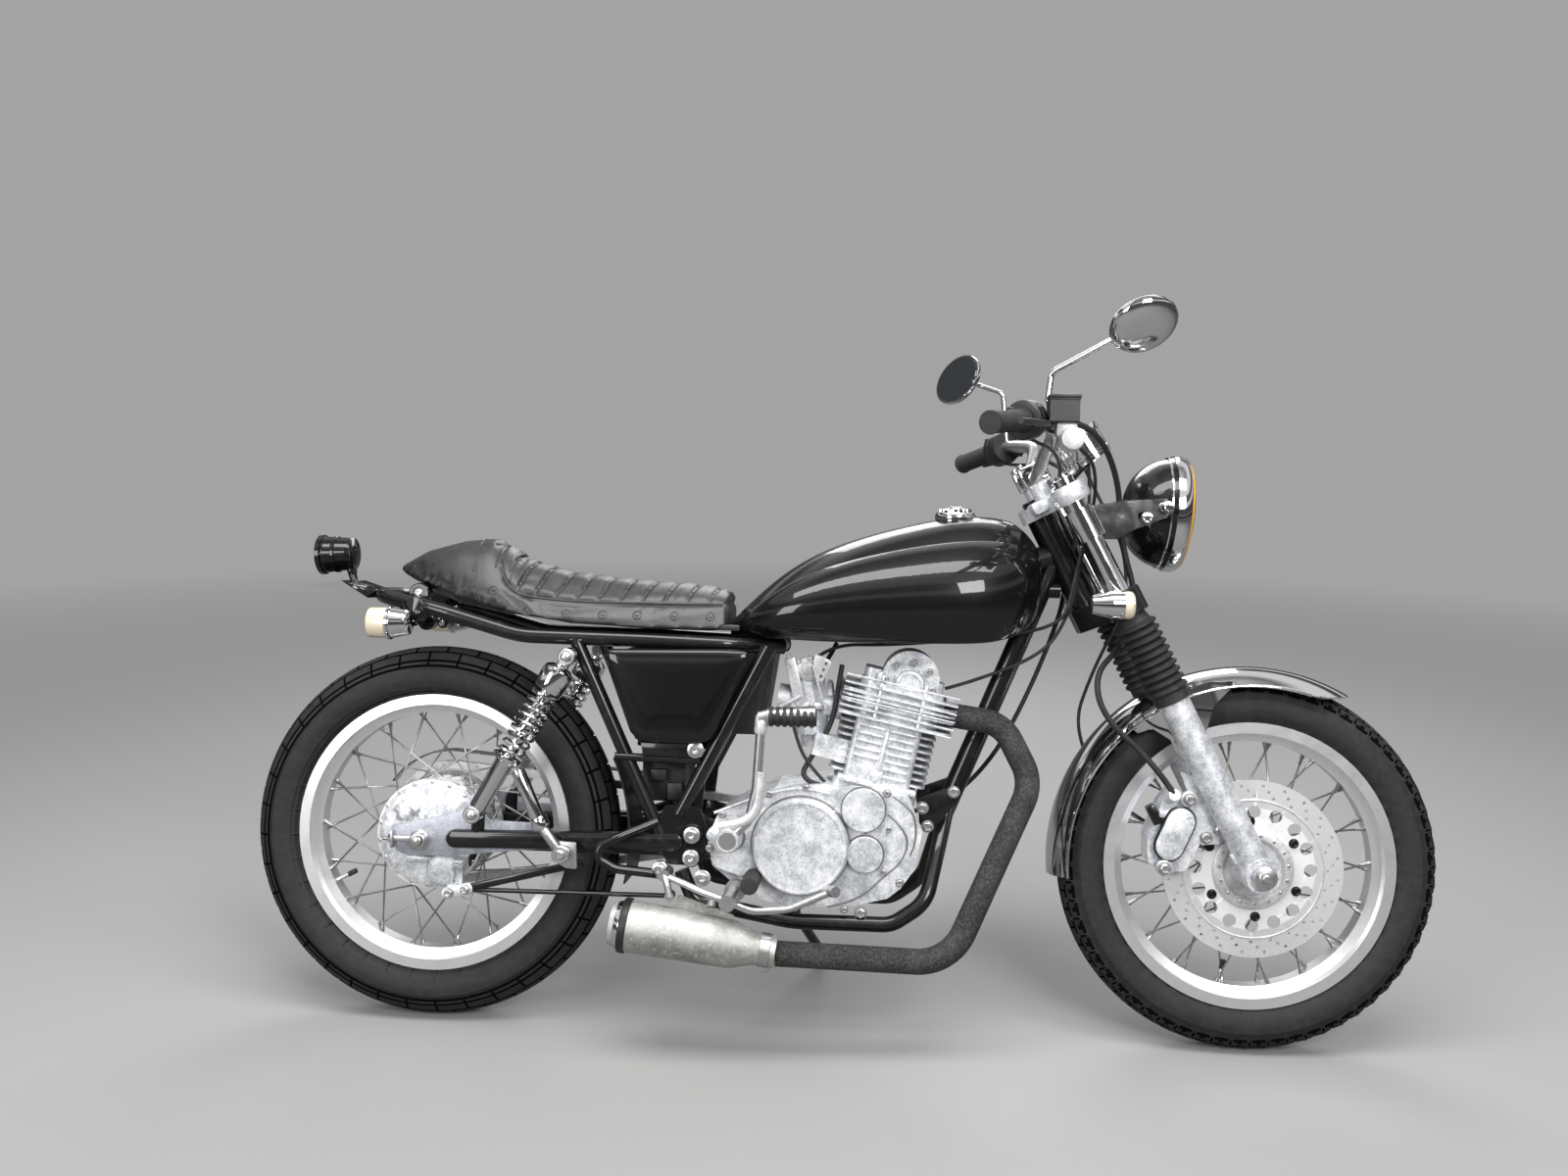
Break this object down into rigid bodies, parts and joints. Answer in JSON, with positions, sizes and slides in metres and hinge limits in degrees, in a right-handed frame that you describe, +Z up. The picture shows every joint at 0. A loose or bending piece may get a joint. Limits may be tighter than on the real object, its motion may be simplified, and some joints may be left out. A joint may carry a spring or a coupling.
{
  "type": "cafe racer motorcycle",
  "caption": "Single-cylinder cafe racer motorcycle with a teardrop tank, tuck-roll seat with tail hump, wire wheels, low pipe and gaitered fork, leaning on its side stand.",
  "frame": {"origin": "on the floor, under the middle of the outer box of the machine as it leans on its side stand", "axes": "+X forward, +Y to the left of the rider, +Z up"},
  "size_m": [2.055, 0.7242, 1.259],
  "materials": {
    "black_paint": "gloss black paint",
    "frame_black": "semi-gloss black paint",
    "tyre_rubber": "matt black",
    "rubber": "matt black",
    "chrome": "bright chrome",
    "rim_alloy": "polished",
    "cast_alloy": "cast, weathered",
    "steel": "satin",
    "exhaust_black": "matt heat paint",
    "muffler_alloy": "dull, stained",
    "seat_leather": "black, satin",
    "black_plastic": "satin black",
    "lamp_shell": "gloss black"
  },
  "bodies": {
    "chassis": {"air_box": "black_plastic", "barrel": "cast_alloy", "brake_plate": "cast_alloy", "carburettor": "cast_alloy", "chain": "steel", "chain_guard": "chrome", "control_cables": "rubber", "crankcase": "cast_alloy", "cylinder_head": "cast_alloy", "engine_covers": "cast_alloy", "exhaust_pipe": "exhaust_black", "filler_cap": "chrome", "foot_controls": "steel", "frame_backbone": "frame_black", "frame_cradle": "frame_black", "frame_posts": "frame_black", "frame_seat_loop": "frame_black", "frame_stays": "frame_black", "fuel_tank": "black_paint", "muffler": "muffler_alloy", "seat": "seat_leather", "shocks": "chrome", "side_covers": "black_paint", "swing_arm": "frame_black", "tail_lights": "black_plastic"},
    "rear_wheel": {"rear_tyre": "tyre_rubber", "rear_rim": "rim_alloy", "rear_hub": "cast_alloy"},
    "steering": {"lower_yoke": "frame_black", "upper_yoke": "cast_alloy", "lamp_brackets": "chrome", "speedometer_cable": "rubber", "fork_tubes": "chrome", "fork_gaiters": "rubber", "fork_sliders": "cast_alloy", "front_mudguard": "chrome", "brake_caliper": "cast_alloy", "handlebar": "steel", "grips": "rubber", "bar_controls": "black_plastic", "mirrors": "chrome", "headlamp": "lamp_shell", "gauges": "chrome", "front_indicators": "chrome", "brake_hose": "rubber"},
    "front_wheel": {"front_tyre": "tyre_rubber", "front_rim": "rim_alloy", "front_hub": "cast_alloy", "front_disc": "steel"},
    "side_stand": {"side_stand": "frame_black"}
  },
  "joints": [
    {"name": "rear_wheel_spin", "type": "hinge", "parent": "chassis", "child": "rear_wheel", "pos_m": [-0.7005, -0.09748, 0.32432], "axis": [0, 0.9903, -0.1392], "continuous": true},
    {"name": "steering_turn", "type": "hinge", "parent": "chassis", "child": "steering", "pos_m": [0.39076, -0.02767, 0.82104], "axis": [-0.4602, 0.1236, 0.8792], "range_deg": [-35, 35], "deforming": ["control_cables"]},
    {"name": "front_wheel_spin", "type": "hinge", "parent": "steering", "child": "front_wheel", "pos_m": [0.7095, -0.09874, 0.3154], "axis": [0, 0.9903, -0.1392], "continuous": true},
    {"name": "side_stand_fold", "type": "hinge", "parent": "chassis", "child": "side_stand", "pos_m": [-0.0725, -0.0001, 0.16219], "axis": [0.0305, 0.7142, 0.6993], "range_deg": [0, 80]}
  ]
}
